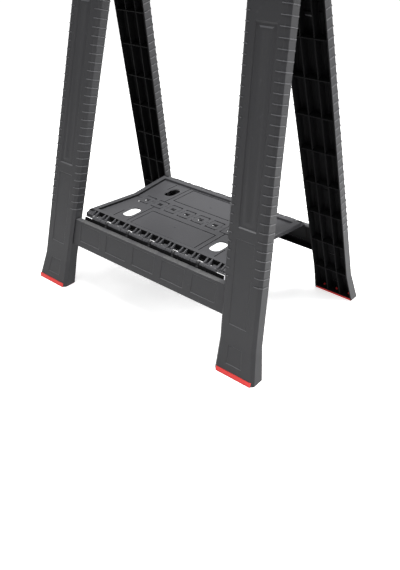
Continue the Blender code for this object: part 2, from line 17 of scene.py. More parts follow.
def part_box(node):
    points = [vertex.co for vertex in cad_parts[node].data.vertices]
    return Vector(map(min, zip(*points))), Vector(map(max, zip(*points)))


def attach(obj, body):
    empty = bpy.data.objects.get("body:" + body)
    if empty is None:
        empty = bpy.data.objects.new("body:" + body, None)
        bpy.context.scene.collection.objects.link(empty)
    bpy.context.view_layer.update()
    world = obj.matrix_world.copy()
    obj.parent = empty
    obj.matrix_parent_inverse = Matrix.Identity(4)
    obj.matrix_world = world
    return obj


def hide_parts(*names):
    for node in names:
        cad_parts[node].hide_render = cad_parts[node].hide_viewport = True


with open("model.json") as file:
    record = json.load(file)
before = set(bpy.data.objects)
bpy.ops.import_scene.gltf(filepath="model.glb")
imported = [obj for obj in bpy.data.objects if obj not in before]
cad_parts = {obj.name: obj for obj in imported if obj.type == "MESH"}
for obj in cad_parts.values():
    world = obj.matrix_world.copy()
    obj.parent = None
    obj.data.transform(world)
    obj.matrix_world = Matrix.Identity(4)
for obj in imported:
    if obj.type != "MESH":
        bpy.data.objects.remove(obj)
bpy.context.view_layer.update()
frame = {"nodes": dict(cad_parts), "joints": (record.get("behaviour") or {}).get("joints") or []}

bl_info = {
    "name": "Folding sawhorse",
    "version": (1, 0, 0),
    "blender": (4, 5, 0),
    "location": "View3D > Sidebar > Sawhorse",
    "description": "Builds the visible pieces of a folding sawhorse around its packed frame",
    "category": "Object",
}

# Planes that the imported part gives
PAD_LOW, PAD_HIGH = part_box("front_right_foot_pad")
LEG_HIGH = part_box("front_right_leg")[1]
RAIL_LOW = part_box("front_rail")[0].z
TRAY_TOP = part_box("front_tray_leaf")[1].z
BEAM_LOW, BEAM_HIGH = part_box("front_top_beam")
PIVOTS = {joint["name"]: Vector(joint["pos_m"]) for joint in frame["joints"]}

FOOT_INNER, FOOT_OUTER = PAD_LOW.x, PAD_HIGH.x
GROUND_BACK = -PAD_HIGH.y
SPLAY = (GROUND_BACK + LEG_HIGH.y) / LEG_HIGH.z
HINGE_Y, HINGE_Z = abs(PIVOTS["fold"].y), PIVOTS["fold"].z
MIDDLE_Z = PIVOTS["tray_middle"].z
GAP = 0.0003                # between pieces that touch
TURN = Matrix.Rotation(math.pi, 3, "Z")


# ---------------------------------------------------------------- settings

def length(name, description, default):
    """Setting that is a length in metres."""
    return FloatProperty(name=name, description=description, default=default, unit="LENGTH")


class LegSizes(bpy.types.PropertyGroup):
    """Sizes of the legs above the feet."""
    width: length("Width", "Width of a leg, run down to the ground", 0.090)
    outer_lean: FloatProperty(name="Outer lean", description="How far the outer edge comes in per metre",
                              default=0.090)
    inner_lean: FloatProperty(name="Inner lean", description="How far the inner edge comes in per metre",
                              default=0.0955)
    depth: length("Depth", "Front to back, square to the frame", 0.029)
    kick: length("Kick height", "The leg flares out below this height", 0.070)
    flare: length("Foot flare", "Sideways flare at the ground", 0.008)
    foot_kick: length("Foot kick", "Forward flare at the ground", 0.005)
    chamfer: length("Chamfer", "Flat along the front edges", 0.0065)
    wall: length("Wall", "Thickness of the moulded wall", 0.003)
    fin_step: length("Fin spacing", "Spacing of the thin raised fins", 0.0174)
    fin_first: length("First fin", "Height of the lowest fin", 0.2017)
    rib_step: length("Rib spacing", "Spacing of the cross ribs inside", 0.0775)


class RailSizes(bpy.types.PropertyGroup):
    """Sizes of the rails between the legs."""
    top: length("Top", "Height of the rail's top face", 0.1775)
    depth: length("Depth", "Front to back, square to the frame", 0.020)
    panel_step: length("Panel spacing", "Spacing of the sunk panels", 0.0878)
    panel_width: length("Panel width", "Width of a sunk panel", 0.0661)
    panel_low: length("Panel foot", "Height of a panel's lower edge", 0.1290)
    lug_step: length("Lug spacing", "Spacing of the hinge lugs", 0.0701)


class TraySizes(bpy.types.PropertyGroup):
    """Sizes of the tray's two leaves."""
    well: length("Well", "Depth of the floor below the rim", 0.005)
    height: length("Skirt", "Height of the leaf's sides", 0.012)
    rim: length("Rim", "Width of the side rims", 0.013)
    half_at_middle: length("Half length, middle", "Half length at the fold line", 0.19878)
    half_at_rail: length("Half length, rail", "Half length at the rail hinge", 0.21878)
    tab_step: length("Tab spacing", "Spacing of the tabs of the middle hinge", 0.0435)
    tab_width: length("Tab width", "Width of a tab", 0.030)
    tab_reach: length("Tab reach", "How far a tab reaches over the other leaf", 0.017)
    comb_step: length("Comb spacing", "Spacing of the wide slots along a rail", 0.03505)
    oval_x: length("Grip hole place", "Grip hole to the middle, along the tray", 0.1338)
    oval_y: length("Grip hole distance", "Grip hole to the fold line", 0.0725)
    oval_length: length("Grip hole length", "Length of a grip hole", 0.048)
    oval_width: length("Grip hole width", "Width of a grip hole", 0.029)


class Finishes(bpy.types.PropertyGroup):
    """Colours of the materials."""
    frame: FloatVectorProperty(name="Frame", description="Moulded plastic of the frames", subtype="COLOR",
                               default=(0.023, 0.023, 0.025), min=0, max=1)
    tray: FloatVectorProperty(name="Tray", description="Moulded plastic of the tray", subtype="COLOR",
                              default=(0.066, 0.066, 0.072), min=0, max=1)
    # Painted shade: this near-black stands for the shade inside the channels, in grooves and slots and
    # under the tray
    inside: FloatVectorProperty(name="Inside", description="Ribs and walls inside the channels",
                                subtype="COLOR", default=(0.004, 0.004, 0.0045), min=0, max=1)
    feet: FloatVectorProperty(name="Feet", description="Rubber of the feet", subtype="COLOR",
                              default=(0.62, 0.032, 0.028), min=0, max=1)
    steel: FloatVectorProperty(name="Steel", description="Hinge rods and pins", subtype="COLOR",
                               default=(0.16, 0.16, 0.17), min=0, max=1)


class StageSettings(bpy.types.PropertyGroup):
    """Camera, lights and the roundness of the edges."""
    eye: FloatVectorProperty(name="Eye", description="Place of the camera", subtype="TRANSLATION",
                             unit="LENGTH", default=(0.8667, -1.0045, 0.8536))
    heading: FloatProperty(name="Heading", description="Turn of the camera about Z", subtype="ANGLE",
                           default=0.7009)
    tilt: FloatProperty(name="Tilt", description="Camera's look below the horizon", subtype="ANGLE",
                        default=0.5723)
    roll: FloatProperty(name="Roll", description="Turn about the line of sight", subtype="ANGLE",
                        default=0.0041)
    lens: FloatProperty(name="Lens", description="Focal length in millimetres", default=39.2)
    sky: FloatProperty(name="Sky", description="Strength of the even light", default=0.42, min=0)
    key: FloatProperty(name="Key", description="Power of the light from the right and behind",
                       default=70.0, min=0)
    top: FloatProperty(name="Top", description="Power of the light overhead", default=78.0, min=0)
    fill: FloatProperty(name="Fill", description="Power of the light from the front", default=9.0, min=0)
    segments: IntProperty(name="Bevel segments", description="Segments of the rounded edges",
                          default=2, min=1, max=4)


# ---------------------------------------------------------------- shader helpers

class Socket:
    """A shader output that takes part in arithmetic; each operation adds its Math node."""

    def __init__(self, finish, output):
        self.finish, self.output = finish, output

    def maths(self, operation, *values):
        return self.finish.node("ShaderNodeMath", {"operation": operation}, dict(enumerate(values)))

    def __add__(self, other):
        return self.maths("ADD", self, other)

    __radd__ = __add__

    def __mul__(self, other):
        return self.maths("MULTIPLY", self, other)

    __rmul__ = __mul__

    def __sub__(self, other):
        return self.maths("SUBTRACT", self, other)

    def __rsub__(self, other):
        return self.maths("SUBTRACT", other, self)


class Finish:
    """One material: makes its nodes and feeds its surface shader."""

    def __init__(self, name, **constants):
        self.material = bpy.data.materials.new(name)
        self.material.use_nodes = True
        self.tree = self.material.node_tree
        self.shader = self.tree.nodes["Principled BSDF"]
        for key, value in constants.items():
            self.shader.inputs[key.replace("_", " ")].default_value = value
        self.place = self.node("ShaderNodeTexCoord", output="Object")
        self.facing = self.node("ShaderNodeTexCoord", output="Normal")

    def node(self, kind, settings=None, values=None, output=0):
        made = self.tree.nodes.new(kind)
        for key, value in (settings or {}).items():
            setattr(made, key, value)
        for key, value in (values or {}).items():
            if isinstance(value, Socket):
                self.tree.links.new(value.output, made.inputs[key])
            else:
                made.inputs[key].default_value = value
        return Socket(self, made.outputs[output])

    def axis(self, vector, index):
        return self.node("ShaderNodeSeparateXYZ", None, {0: vector}, index)

    def noise(self, scale, detail=3.0, stretch=(1, 1, 1)):
        place = self.node("ShaderNodeMapping", None, {"Vector": self.place, "Scale": stretch})
        return self.node("ShaderNodeTexNoise", None, {"Vector": place, "Scale": scale, "Detail": detail})

    def step(self, value, low, high):
        """0 below low, 1 above high, smooth between."""
        return self.node("ShaderNodeMapRange", {"interpolation_type": "SMOOTHSTEP"},
                         {"Value": value, "From Min": low, "From Max": high})

    def mix(self, share, first, second):
        """Colour between two colours."""
        first, second = ((*c, 1.0) if isinstance(c, tuple) else c for c in (first, second))
        return self.node("ShaderNodeMix", {"data_type": "RGBA"}, {0: share, 6: first, 7: second}, 2)

    def bump(self, height, distance):
        return self.node("ShaderNodeBump", None, {"Height": height, "Distance": distance})

    def feed(self, **sockets):
        for key, value in sockets.items():
            self.tree.links.new(value.output, self.shader.inputs[key.replace("_", " ")])
        return self.material


def shade(colour, factor):
    return tuple(min(1.0, channel * factor) for channel in colour)


def moulded_finish(name, colour, roughness, dust_and_painted_top_light, gloss=0.45):
    """Spark-eroded plastic: fine grain, slow colour drift, thin scuffs, and dust with painted top light on
    upward faces.
    """
    colour = tuple(colour)
    made = Finish(name, Specular_IOR_Level=gloss)
    drift = made.noise(7.0, 2.0)
    grain = made.noise(1500.0, 2.0)
    flow = made.noise(420.0, 3.0)
    scuff = made.step(made.noise(60.0, 4.0, (1.0, 6.0, 0.4)), 0.64, 0.78)
    up = made.step(made.axis(made.facing, 2), 0.4, 1.0)
    body = made.mix(drift, shade(colour, 0.86), shade(colour, 1.16))
    body = made.mix(scuff * 0.35, body, shade(colour, 2.2))
    # Dust and painted top light: faces that face up are mixed towards grey, as if lit from above
    body = made.mix(up * (0.5 + made.step(flow, 0.3, 0.8) * 0.5) * dust_and_painted_top_light, body, (0.20, 0.20, 0.20))
    rough = roughness + (drift - 0.5) * 0.12 + scuff * 0.10 + (grain - 0.5) * 0.10
    return made.feed(Base_Color=body, Roughness=rough,
                     Normal=made.bump(grain * 0.6 + flow * 0.4, 0.00010))


def rubber_finish(name, colour):
    """Red rubber, dulled and darker where it meets the ground."""
    colour = tuple(colour)
    made = Finish(name, Specular_IOR_Level=0.35)
    low = 1 - made.step(made.axis(made.place, 2), 0.0, 0.004)
    mottle = made.noise(90.0, 4.0)
    grain = made.noise(1100.0, 2.0)
    body = made.mix(mottle, shade(colour, 0.88), shade(colour, 1.10))
    body = made.mix(low * mottle * 0.7, body, (0.10, 0.03, 0.028))
    return made.feed(Base_Color=body, Roughness=0.52 + mottle * 0.16,
                     Normal=made.bump(grain, 0.00012))


def steel_finish(name, colour):
    """Drawn steel wire with lines along it and a few dull spots."""
    colour = tuple(colour)
    made = Finish(name, Metallic=1.0)
    lines = made.noise(900.0, 3.0, (0.02, 1.0, 1.0))
    spots = made.step(made.noise(70.0, 4.0), 0.55, 0.72)
    body = made.mix(spots * 0.5, colour, shade(colour, 0.55))
    return made.feed(Base_Color=body, Roughness=0.26 + lines * 0.16 + spots * 0.2,
                     Normal=made.bump(lines, 0.00005))


def floor_finish():
    """Pale paper with a trace of tooth."""
    made = Finish("pale_floor", Specular_IOR_Level=0.0, Emission_Strength=0.62,
                  Emission_Color=(1.0, 1.0, 1.0, 1.0))
    tooth = made.noise(240.0, 3.0)
    return made.feed(Base_Color=made.mix(tooth, (0.90, 0.90, 0.90), (0.94, 0.94, 0.94)),
                     Roughness=0.85 + tooth * 0.1)


FINISH = {}
# Finish numbers: painted shade is the near-black for inner sides, painted highlight the lighter finish for
# up-facing ledges
PAINTED_SHADE, PAINTED_HIGHLIGHT = 1, 2         # places in the finish list of a shell


# ---------------------------------------------------------------- mesh helpers

def grid(columns, rows, place):
    """Sheet of quads with a line at each column and row, each corner put at place(column, row)."""
    bm = bmesh.new()
    column_of = bm.faces.layers.int.new("column")
    row_of = bm.faces.layers.int.new("row")
    across, up = len(columns) - 1, len(rows) - 1
    bmesh.ops.create_grid(bm, x_segments=across, y_segments=up, size=1)
    for face in bm.faces:
        middle = face.calc_center_median()
        face[column_of] = int((middle.x + 1) / 2 * across)
        face[row_of] = int((middle.y + 1) / 2 * up)
    for vert in bm.verts:
        i, j = round((vert.co.x + 1) / 2 * across), round((vert.co.y + 1) / 2 * up)
        vert.co = place(columns[i], rows[j])
    bm.normal_update()
    return bm


def cells(bm, columns, rows):
    """Faces of a grid between two column numbers and two row numbers."""
    column_of, row_of = bm.faces.layers.int["column"], bm.faces.layers.int["row"]
    return [face for face in bm.faces
            if columns[0] <= face[column_of] < columns[1] and rows[0] <= face[row_of] < rows[1]]


def between(lines, low, high):
    """Numbers of the lines nearest to two values."""
    return tuple(min(range(len(lines)), key=lambda i: abs(lines[i] - value)) for value in (low, high))


def sink(bm, faces, draft, depth):
    """Sinks a patch of faces, with walls that lean by draft."""
    bmesh.ops.inset_region(bm, faces=faces, thickness=draft, depth=-depth, use_even_offset=True,
                           use_boundary=True)


LEDGE_FACING, LEDGE_AREA = 0.5, 0.0003


def mark_ledges(bm):
    """Gives the narrow ledges that face up the lighter finish, a painted highlight where top light catches
    them.
    """
    bm.normal_update()
    for face in bm.faces:
        if face.normal.z > LEDGE_FACING and face.calc_area() < LEDGE_AREA:
            face.material_index = PAINTED_HIGHLIGHT


def face_towards(bm, direction):
    """Turns a sheet over if most of it faces the wrong way."""
    bm.normal_update()
    if sum(face.normal.dot(direction) * face.calc_area() for face in bm.faces) < 0:
        bmesh.ops.reverse_faces(bm, faces=bm.faces)


def thicken(bm, thickness, inner=0):
    """Gives a sheet its wall, behind the side that it faces; inner is the inner side's finish number."""
    shown = set(bm.faces)
    bmesh.ops.solidify(bm, geom=bm.faces[:], thickness=thickness)
    for face in bm.faces:
        if face not in shown:
            face.material_index = max(face.material_index, inner)


def block(bm, place):
    """Adds a closed block whose corners are at place(a, b, c), each 0 or 1."""
    made = bmesh.ops.create_cube(bm, size=1)["verts"]
    for vert in made:
        vert.co = place(*(round(c + 0.5) for c in vert.co))
    bmesh.ops.recalc_face_normals(bm, faces=list({f for v in made for f in v.link_faces}))
    return made


def bar(bm, x, y, z):
    """Adds a square-cornered bar from three (low, high) pairs."""
    return block(bm, lambda a, b, c: (x[a], y[b], z[c]))


def round_bar(bm, centre, radius, low, high, sides=24):
    """Adds a closed cylinder along X about centre, which is (y, z)."""
    made = bmesh.ops.create_cone(bm, cap_ends=True, segments=sides, radius1=radius, radius2=radius,
                                 depth=high - low)["verts"]
    bmesh.ops.rotate(bm, verts=made, cent=(0, 0, 0), matrix=Matrix.Rotation(math.pi / 2, 3, "Y"))
    bmesh.ops.translate(bm, verts=made, vec=((low + high) / 2, *centre))
    return made


def absorb(bm, other):
    """Moves another bmesh into this one."""
    mesh = bpy.data.meshes.new("part")
    other.to_mesh(mesh)
    other.free()
    bm.from_mesh(mesh)
    bpy.data.meshes.remove(mesh)


def make_piece(bm, name, body, finish, replaced=(), round_edges=0.0004, angle=32):
    """Turns a bmesh into a piece that rides on a body, with its edges rounded."""
    mesh = bpy.data.meshes.new(name)
    for layer in list(bm.faces.layers.int.values()):
        bm.faces.layers.int.remove(layer)
    bm.to_mesh(mesh)
    bm.free()
    mesh.polygons.foreach_set("use_smooth", [True] * len(mesh.polygons))
    thing = bpy.data.objects.new(name, mesh)
    bpy.context.scene.collection.objects.link(thing)
    for key in finish.split():
        mesh.materials.append(FINISH[key])
    if round_edges:
        edge = thing.modifiers.new("Rounded edges", "BEVEL")
        edge.width, edge.segments = round_edges, bpy.context.scene.sawhorse_stage.segments
        edge.limit_method, edge.angle_limit = "ANGLE", math.radians(angle)
        edge.use_clamp_overlap, edge.harden_normals = False, True
    else:
        mesh.set_sharp_from_angle(angle=math.radians(angle))
    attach(thing, body)
    if replaced:
        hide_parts(*replaced)
    return thing


def for_both_frames(shape):
    """Yields a front shape, then its copy turned half round for the rear, each with its side's name."""
    for side in ("front", "rear"):
        bm = shape()
        if side == "rear":
            bmesh.ops.rotate(bm, verts=bm.verts, cent=(0, 0, 0), matrix=TURN)
        yield side, bm


def welded_copy(node):
    """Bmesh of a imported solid, its loose triangles joined and flat areas made whole."""
    bm = bmesh.new()
    bm.from_mesh(frame["nodes"][node].data)
    bmesh.ops.remove_doubles(bm, verts=bm.verts, dist=0.00001)
    bmesh.ops.dissolve_limit(bm, angle_limit=math.radians(1), verts=bm.verts, edges=bm.edges)
    return bm


# ---------------------------------------------------------------- lines of the frames

def back(z):
    """Distance from the middle of the horse to a frame's back plane at height z."""
    return GROUND_BACK - SPLAY * z


def kicked(z, above, ground):
    """A size that is above(z) over the kick and runs to its value at the ground."""
    kick = bpy.context.scene.sawhorse_legs.kick
    if z >= kick:
        return above(z)
    return above(kick) + (ground - above(kick)) * (kick - z) / kick


def leg_outer(z):
    sizes = bpy.context.scene.sawhorse_legs
    return kicked(z, lambda level: FOOT_OUTER - sizes.flare - sizes.outer_lean * level, FOOT_OUTER)


def leg_inner(z):
    sizes = bpy.context.scene.sawhorse_legs
    return kicked(z, lambda level: FOOT_OUTER - sizes.flare - sizes.width - sizes.inner_lean * level,
                  FOOT_INNER)


def leg_depth(z):
    sizes = bpy.context.scene.sawhorse_legs
    return kicked(z, lambda level: sizes.depth, sizes.depth + sizes.foot_kick)


LEVEL_BELOW, LEVEL_ABOVE = 0.06, LEG_HIGH.z - 0.01     # ribs are level near both ends of a leg
PIVOT_SHARE = 0.75          # the share of the depth that stays at its height


def square_to_frame(z, t, x, side):
    """Point at depth t on a line that leaves the leg square to the frame at height z."""
    square = LEVEL_BELOW < z < LEVEL_ABOVE
    rise = SPLAY * (t - PIVOT_SHARE * leg_depth(z)) if square else 0.0
    level = z + rise
    return side * x, -(back(level) + t), level


# ---------------------------------------------------------------- legs

FRONT_RECESSES = (          # lower edge, upper edge, clear of the inner side, of the outer side, depth
    (0.0245, 0.0640, 0.0280, 0.0300, 0.0010),
    (0.1080, 0.2830, 0.0235, 0.0235, 0.0012),
    (0.3037, 0.6600, 0.0260, 0.0225, 0.0026),
)
FIN_THICK, FIN_PROUD = 0.0015, 0.0013
FIN_OUTER, FIN_INNER = 0.0170, 0.0130       # how far a fin reaches across the front face
FIN_ROOT = 0.0008           # how far a fin runs into the wall
RIB_HALF = 0.0012           # half the thickness of an upright rib
RIB_COUNT, RIB_FIRST = 9, 0.98              # cross ribs, and the first one's height in rib spacings
RIB_CLEAR = 1.02            # from a rib's front edge to the leg's front face, in walls
RIB_SIDE = 0.7              # how far a cross rib reaches into the side walls, in walls
CROSS_RIB, FOOT_RIB = 0.0022, 0.0062        # thickness of a cross rib, height of the lowest one
SOLE, SOLE_INSET = 0.0042, 0.0012
BAND_HIGH, BAND_DEEP, BAND_PROUD = 0.0100, 0.0020, 0.0009
PEG_LOW, PEG_HIGH, PEG_LENGTH = 0.0030, 0.0026, 0.0085


def leg_shell(side):
    """Channel of a leg, open at the back, with its sunk front panels."""
    sizes = bpy.context.scene.sawhorse_legs
    foot = PAD_LOW.z + 0.0009
    heights = sorted({foot, sizes.kick, LEG_HIGH.z, *(z for r in FRONT_RECESSES for z in r[:2])})
    inner, outer = min(r[2] for r in FRONT_RECESSES), min(r[3] for r in FRONT_RECESSES)
    columns = range(8)

    def place(column, z):
        x0, x1, depth, cut = leg_inner(z), leg_outer(z), leg_depth(z), sizes.chamfer
        clear = next((r for r in FRONT_RECESSES if r[0] - 0.001 <= z <= r[1] + 0.001), None)
        left, right = (clear[2], clear[3]) if clear else (inner, outer)
        x, t = ((x0, 0), (x0, depth - cut), (x0 + cut, depth), (x0 + left, depth),
                (x1 - right, depth), (x1 - cut, depth), (x1, depth - cut), (x1, 0))[column]
        return side * x, -(back(z) + t), z

    bm = grid(columns, heights, place)
    face_towards(bm, Vector((0, -1, 0)))
    patches = [(cells(bm, (3, 4), between(heights, low, high)), depth)
               for low, high, _, _, depth in FRONT_RECESSES]
    for faces, depth in patches:
        sink(bm, faces, depth, depth)
    soft = patches[-1][0]
    for draft, rise in ((0.0045, 0.0), (0.0030, -0.0010), (0.0050, 0.0), (0.0025, 0.0006)):
        sink(bm, soft, draft, rise)
    # Painted highlight: the up-facing ledges of the recesses get the lighter finish
    mark_ledges(bm)
    # Painted shade: the wall's inner side gets the near-black finish
    thicken(bm, sizes.wall, PAINTED_SHADE)
    return bm


def leg_fins(side):
    """Thin raised fins that wrap the edges of a leg up to the beam."""
    sizes = bpy.context.scene.sawhorse_legs
    bm = bmesh.new()
    cut = sizes.chamfer
    count = int((BEAM_LOW.z - sizes.fin_first) / sizes.fin_step) + 1
    for number in range(count):
        level = sizes.fin_first + sizes.fin_step * number
        for edge in ("inner", "outer"):
            def place(station, z):
                depth = leg_depth(z)
                out, reach = (-1, FIN_INNER) if edge == "inner" else (1, FIN_OUTER)
                corner = leg_inner(z) if edge == "inner" else leg_outer(z)
                away, t = ((-reach, depth + FIN_PROUD), (FIN_PROUD * 0.4 - cut, depth + FIN_PROUD),
                           (FIN_PROUD, depth - cut + FIN_PROUD * 0.4), (FIN_PROUD, 0.0004))[station]
                return square_to_frame(z, t, corner + out * away, side)
            strip = grid(range(4), (level, level + FIN_THICK), place)
            face_towards(strip, Vector((0, -1, 0)))
            thicken(strip, FIN_PROUD + FIN_ROOT)
            absorb(bm, strip)
    return bm


def leg_ribs(side):
    """Rib lattice inside a leg: two upright ribs and level ones square to the frame."""
    sizes = bpy.context.scene.sawhorse_legs
    bm = bmesh.new()
    wall = sizes.wall
    spans = ((PAD_LOW.z + 0.0045, sizes.kick), (sizes.kick, LEG_HIGH.z - 0.002))
    for share in (1 / 3, 2 / 3):
        for span in spans:
            def upright(a, b, c):
                z = span[c]
                x = leg_inner(z) + share * (leg_outer(z) - leg_inner(z)) + (2 * a - 1) * RIB_HALF
                t = (0.004, leg_depth(z) - wall * RIB_CLEAR)[b]
                return side * x, -(back(z) + t), z
            block(bm, upright)
    levels = [FOOT_RIB] + [sizes.rib_step * (i + RIB_FIRST) for i in range(RIB_COUNT)]
    for level in levels:
        def across(column, t_share):
            depth, cut = leg_depth(level) - wall * RIB_CLEAR, sizes.chamfer
            x0, x1 = leg_inner(level) + wall * RIB_SIDE, leg_outer(level) - wall * RIB_SIDE
            x, front = ((x0, depth - cut), (x0 + cut, depth), (x1 - cut, depth), (x1, depth - cut))[column]
            return square_to_frame(level, 0.003 if t_share == 0 else front, x, side)
        sheet = grid(range(4), (0, 1), across)
        face_towards(sheet, Vector((0, 0, 1)))
        thicken(sheet, CROSS_RIB)
        absorb(bm, sheet)
    return bm


def foot_pad(side):
    """Rubber sole inside the foot, its band along the front face and its pegs."""
    sizes = bpy.context.scene.sawhorse_legs
    deep, cut, inset = sizes.depth + sizes.foot_kick, sizes.chamfer, SOLE_INSET

    def sole(column, share):
        x0, x1 = FOOT_INNER + inset, FOOT_OUTER - inset
        x, front = ((x0, deep - cut), (x0 + cut, deep), (x1 - cut, deep), (x1, deep - cut))[column]
        return side * x, -(GROUND_BACK + (front - inset) * share + 0.0002), SOLE

    bm = grid(range(4), (0, 1), sole)
    face_towards(bm, Vector((0, 0, 1)))
    thicken(bm, SOLE)

    def band(a, b, c):
        z = (0.0, BAND_HIGH)[c]
        x = (FOOT_INNER + cut, FOOT_OUTER - cut)[a]
        return side * x, -(back(z) + (deep - BAND_DEEP, deep + BAND_PROUD)[b] - 0.02 * z), z
    strip = bmesh.new()
    block(strip, band)
    ends = [e for e in strip.edges if e.verts[0].co.z != e.verts[1].co.z]
    bmesh.ops.bevel(strip, geom=ends, offset=0.0012, affect="EDGES", segments=3, profile=0.5, material=-1)
    absorb(bm, strip)
    for i in range(3):
        x = FOOT_INNER + (FOOT_OUTER - FOOT_INNER) * (i + 0.5) / 3
        made = bmesh.ops.create_cone(bm, cap_ends=True, segments=20, radius1=PEG_LOW, radius2=PEG_HIGH,
                                     depth=PEG_LENGTH)["verts"]
        bmesh.ops.translate(bm, verts=made, vec=(side * x, -(GROUND_BACK + 0.017), 0.0060))
    return bm


# ---------------------------------------------------------------- rails

BARREL = 0.005              # radius of the hinge barrels of rails and leaves
RAIL_WALL = 0.003
SLOT = 0.0065               # open slot behind the rail's top flange
PANEL_TO_TOP = 0.0060
LUG_HALF, LUG_FOOT = 0.003, 0.030           # half the width of a lug, and its root below the rail's top
LUG_SPAN = 0.19             # lugs stand within this distance of the middle
LIP_LOW, LIP_HIGH = 0.0130, 0.0010          # below the rail's top, below the hinge line
LIP_CLEAR, LIP_BACK, LIP_FRONT = 0.0150, 0.0038, 0.0050


def rail_shell():
    """Rail between the legs: front face with sunk panels, top and bottom flanges, hinge lugs."""
    sizes = bpy.context.scene.sawhorse_rails
    deep, top = sizes.depth, sizes.top
    panel_top = top - PANEL_TO_TOP
    profile = ((0.0, RAIL_LOW), (deep, RAIL_LOW), (deep, sizes.panel_low), (deep, panel_top),
               (deep, top), (SLOT, top))
    half = sizes.panel_width / 2
    edges = [sizes.panel_step * i + sign * half for i in range(-2, 3) for sign in (-1, 1)]
    rows = [-FOOT_OUTER, *edges, FOOT_OUTER]

    def place(point, x):
        t, z = point
        end = leg_inner(z) - GAP
        return max(-end, min(end, x)), -(back(z) + t), z

    bm = grid(profile, rows, place)
    face_towards(bm, Vector((0, -1, 0)))
    panels = [cells(bm, (2, 3), (2 * i + 1, 2 * i + 2)) for i in range(5)]
    for panel in panels:
        sink(bm, panel, 0.0010, 0.0012)
    # Painted highlight: the up-facing ledges of the panels get the lighter finish
    mark_ledges(bm)
    # Painted shade: the wall's inner side gets the near-black finish
    thicken(bm, RAIL_WALL, PAINTED_SHADE)
    count = int(LUG_SPAN / sizes.lug_step)
    for i in range(-count, count + 1):
        rail_lug(bm, sizes.lug_step * i)
    return bm


def rail_lug(bm, x):
    """Lug that stands on the rail and carries the tray's hinge rod."""
    sizes = bpy.context.scene.sawhorse_rails
    lane = (x - LUG_HALF, x + LUG_HALF)
    low, high = sizes.top - LUG_FOOT, HINGE_Z
    round_bar(bm, (-HINGE_Y, HINGE_Z), BARREL, *lane)

    def stem(a, b, c):
        z = (low, high)[c]
        front = (0.0120, 0.0044)[c]
        rear = (0.0010, -0.0040)[c]
        return lane[a], -(back(z) + (rear, front)[b]), z
    block(bm, stem)


def rail_ribs():
    """Upright ribs in the open back of a rail, and a near-black lip in the slot behind its top, painted
    shade that makes the slot show dark.
    """
    sizes = bpy.context.scene.sawhorse_rails
    bm = bmesh.new()
    for i in range(-2, 2):
        x = sizes.panel_step * (i + 0.5)

        def place(a, b, c):
            z = (RAIL_LOW + 0.0015, sizes.top - 0.0015)[c]
            t = ((0.001, sizes.depth - 0.0015), (0.008, sizes.depth - 0.0015))[c][b]
            return x + (2 * a - 1) * RIB_HALF, -(back(z) + t), z
        block(bm, place)

    # Painted shade: a dark strip put in the slot so that it shows black
    def lip(a, b, c):
        z = (sizes.top - LIP_LOW, HINGE_Z - LIP_HIGH)[c]
        return (2 * a - 1) * (leg_inner(z) - LIP_CLEAR), -(back(z) + (LIP_BACK, LIP_FRONT)[b]), z
    block(bm, lip)
    return bm


# ---------------------------------------------------------------- tray

def half_length(distance):
    """Half length of the tray at a distance from the fold line: it is waisted."""
    sizes = bpy.context.scene.sawhorse_tray
    share = distance / (HINGE_Y + 0.005)
    return sizes.half_at_middle + (sizes.half_at_rail - sizes.half_at_middle) * share


PANEL_HALF = 0.0976         # the sunk outline of the floor's middle panel
PANEL_NEAR, PANEL_FAR = 0.0377, 0.1140
OUTER_LINE, SHORT_LINE = 0.1105, 0.1550
GROOVE = 0.0009             # half the width of a line in the floor
FLOOR_EDGE, RIM_EDGE = 0.1190, 0.1200
COMB_START, COMB_DROP, COMB_FLOOR = 0.1300, 0.1306, 0.1352
TAB_ROOM, TAB_END_ROOM = 0.0012, 0.0026     # opening in the floor beside and beyond a tab
SHORT_START = 0.0770        # where the short lines beside the grip holes begin
SIDE_LINE = 0.1790          # line of the mesh between the short lines and the rim
HOLE_ROOM = 0.003           # patch of floor around a grip hole
FLOOR_WALL, TAB_WALL = 0.0026, 0.003
HOLE_LIP = 0.0036
WINDOW_X, WINDOW_Y = 0.0068, 0.0050         # half sizes of the hole in a tab
KNUCKLE_HALF = 0.009
SLEEVE = 0.0043             # radius of the plain stretches around a rod
COMB_END, COMB_LOW, COMB_TIP = 0.1452, 0.1845, 0.1902
COMB_RIB, COMB_RIB_HALF = 0.0059, 0.0019    # rib to the slot's middle, half a rib
CORNER_RIB_IN, CORNER_RIB_HALF = 0.0074, 0.0070
COMB_BARREL, BARREL_END = 0.013, 0.2122     # half a barrel, and the furthest that one reaches
SLEEVE_ENDS = (0.0046, 0.0216)
BRIDGE_HALF = 0.0036
UNDER_RIBS = (0.0205, 0.0420, 0.1010, 0.1180)
UNDER_HALF = 0.0009
UNDER_NEAR, UNDER_FAR = 0.0200, 0.1300      # span of the ribs across a leaf
HOLE_NEAR, HOLE_FAR = 0.0440, 0.1000        # where they stop short of a grip hole


def tab_centres():
    """Centres of the front leaf's own tabs."""
    step = bpy.context.scene.sawhorse_tray.tab_step
    return [step * (2 * i - 2.5) for i in range(4)]


